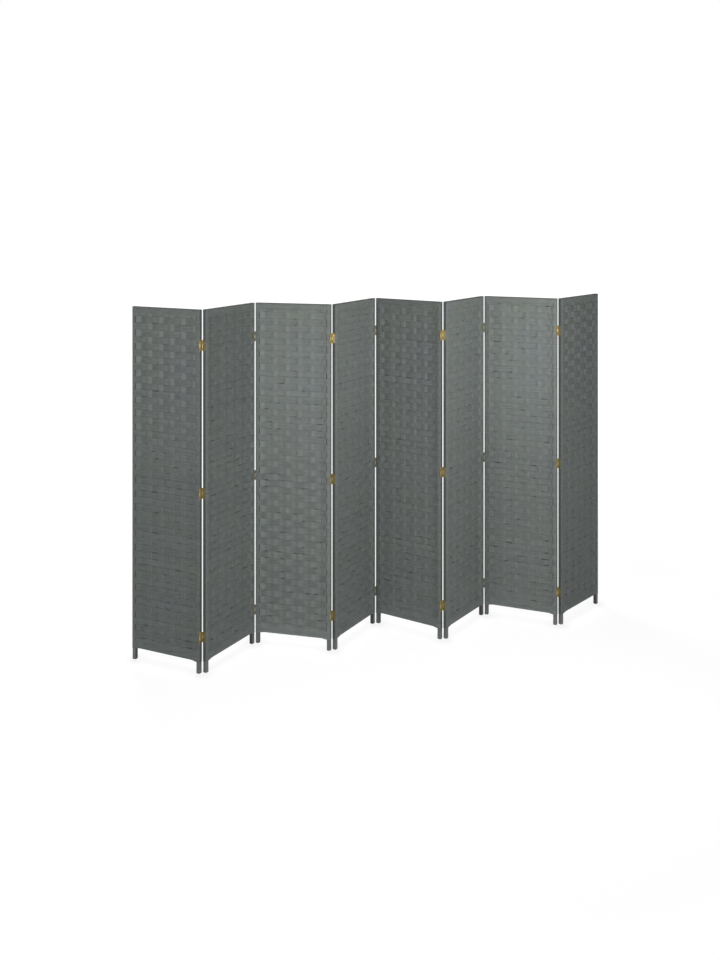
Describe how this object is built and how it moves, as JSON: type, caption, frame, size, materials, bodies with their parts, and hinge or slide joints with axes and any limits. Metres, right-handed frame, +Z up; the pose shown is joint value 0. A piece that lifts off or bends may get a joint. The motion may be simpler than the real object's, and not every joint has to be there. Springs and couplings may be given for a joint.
{
  "type": "folding screen",
  "caption": "Free-standing folding screen of tall woven-cord panels on slim wooden frames, zigzag footprint, joined by two-way brass hinges.",
  "frame": {"origin": "on the floor, in the middle of the rectangle that the standing screen covers", "axes": "+X along the screen from left to right as seen from the front, -Y the front, +Z up"},
  "size_m": [2.5534, 0.3803, 1.74],
  "materials": {
    "woven_cord": "painted twisted paper cord, matt, woven in checks",
    "painted_wood": "softwood, painted matt grey-green",
    "painted_slat": "thin wooden strip, painted matt grey-green",
    "brass_plate": "pressed brass-coloured plate, satin",
    "brass_screw": "brass-coloured countersunk screw",
    "brass_pin": "brass-coloured rod with upset ends"
  },
  "bodies": {
    "panel_1": {"frame_1": "painted_wood", "slats_1": "painted_slat", "weave_1": "woven_cord", "hinge_leaves_1": "brass_plate", "hinge_screws_1": "brass_screw"},
    "panel_2": {"frame_2": "painted_wood", "slats_2": "painted_slat", "weave_2": "woven_cord", "hinge_leaves_2": "brass_plate", "hinge_screws_2": "brass_screw"},
    "panel_3": {"frame_3": "painted_wood", "slats_3": "painted_slat", "weave_3": "woven_cord", "hinge_leaves_3": "brass_plate", "hinge_screws_3": "brass_screw"},
    "panel_4": {"frame_4": "painted_wood", "slats_4": "painted_slat", "weave_4": "woven_cord", "hinge_leaves_4": "brass_plate", "hinge_screws_4": "brass_screw"},
    "panel_5": {"frame_5": "painted_wood", "slats_5": "painted_slat", "weave_5": "woven_cord", "hinge_leaves_5": "brass_plate", "hinge_screws_5": "brass_screw"},
    "panel_6": {"frame_6": "painted_wood", "slats_6": "painted_slat", "weave_6": "woven_cord", "hinge_leaves_6": "brass_plate", "hinge_screws_6": "brass_screw"},
    "panel_7": {"frame_7": "painted_wood", "slats_7": "painted_slat", "weave_7": "woven_cord", "hinge_leaves_7": "brass_plate", "hinge_screws_7": "brass_screw"},
    "panel_8": {"frame_8": "painted_wood", "slats_8": "painted_slat", "weave_8": "woven_cord", "hinge_leaves_8": "brass_plate", "hinge_screws_8": "brass_screw"},
    "link_1": {"centre_plates_1": "brass_plate", "hinge_pins_1": "brass_pin"},
    "link_2": {"centre_plates_2": "brass_plate", "hinge_pins_2": "brass_pin"},
    "link_3": {"centre_plates_3": "brass_plate", "hinge_pins_3": "brass_pin"},
    "link_4": {"centre_plates_4": "brass_plate", "hinge_pins_4": "brass_pin"},
    "link_5": {"centre_plates_5": "brass_plate", "hinge_pins_5": "brass_pin"},
    "link_6": {"centre_plates_6": "brass_plate", "hinge_pins_6": "brass_pin"},
    "link_7": {"centre_plates_7": "brass_plate", "hinge_pins_7": "brass_pin"}
  },
  "joints": [
    {"name": "front_pins_1", "type": "hinge", "parent": "link_1", "child": "panel_1", "pos_m": [-0.97918, -0.1881, 0], "axis": [0, 0, -1], "range_deg": [-180, 0]},
    {"name": "back_pins_1", "type": "hinge", "parent": "panel_2", "child": "link_1", "pos_m": [-0.96446, -0.17175, 0], "axis": [0, 0, -1], "range_deg": [-87, 93]},
    {"name": "front_pins_2", "type": "hinge", "parent": "link_2", "child": "panel_2", "pos_m": [-0.66323, 0.09836, 0], "axis": [0, 0, 1], "range_deg": [-76, 104]},
    {"name": "back_pins_2", "type": "hinge", "parent": "panel_3", "child": "link_2", "pos_m": [-0.6519, 0.11722, 0], "axis": [0, 0, 1], "range_deg": [-170, 0]},
    {"name": "front_pins_3", "type": "hinge", "parent": "link_3", "child": "panel_3", "pos_m": [-0.31693, -0.10971, 0], "axis": [0, 0, -1], "range_deg": [-160, 0]},
    {"name": "back_pins_3", "type": "hinge", "parent": "panel_4", "child": "link_3", "pos_m": [-0.3056, -0.09086, 0], "axis": [0, 0, -1], "range_deg": [-75, 105]},
    {"name": "front_pins_4", "type": "hinge", "parent": "panel_4", "child": "link_4", "pos_m": [0.00029, 0.17396, 0], "axis": [0, 0, -1], "range_deg": [-94, 86]},
    {"name": "back_pins_4", "type": "hinge", "parent": "link_4", "child": "panel_5", "pos_m": [0.01715, 0.1881, 0], "axis": [0, 0, -1], "range_deg": [-180, 0]},
    {"name": "front_pins_5", "type": "hinge", "parent": "panel_5", "child": "link_5", "pos_m": [0.25998, -0.13552, 0], "axis": [0, 0, 1], "range_deg": [-180, 0]},
    {"name": "back_pins_5", "type": "hinge", "parent": "link_5", "child": "panel_6", "pos_m": [0.27683, -0.12138, 0], "axis": [0, 0, 1], "range_deg": [-89.5, 90.5]},
    {"name": "front_pins_6", "type": "hinge", "parent": "panel_6", "child": "link_6", "pos_m": [0.60256, 0.11862, 0], "axis": [0, 0, -1], "range_deg": [-78.5, 101.5]},
    {"name": "back_pins_6", "type": "hinge", "parent": "link_6", "child": "panel_7", "pos_m": [0.61641, 0.13572, 0], "axis": [0, 0, -1], "range_deg": [-170, 0]},
    {"name": "front_pins_7", "type": "hinge", "parent": "panel_7", "child": "link_7", "pos_m": [0.91653, -0.13563, 0], "axis": [0, 0, 1], "range_deg": [-180, 0]},
    {"name": "back_pins_7", "type": "hinge", "parent": "link_7", "child": "panel_8", "pos_m": [0.93037, -0.11853, 0], "axis": [0, 0, 1], "range_deg": [-72.5, 107.5]}
  ]
}
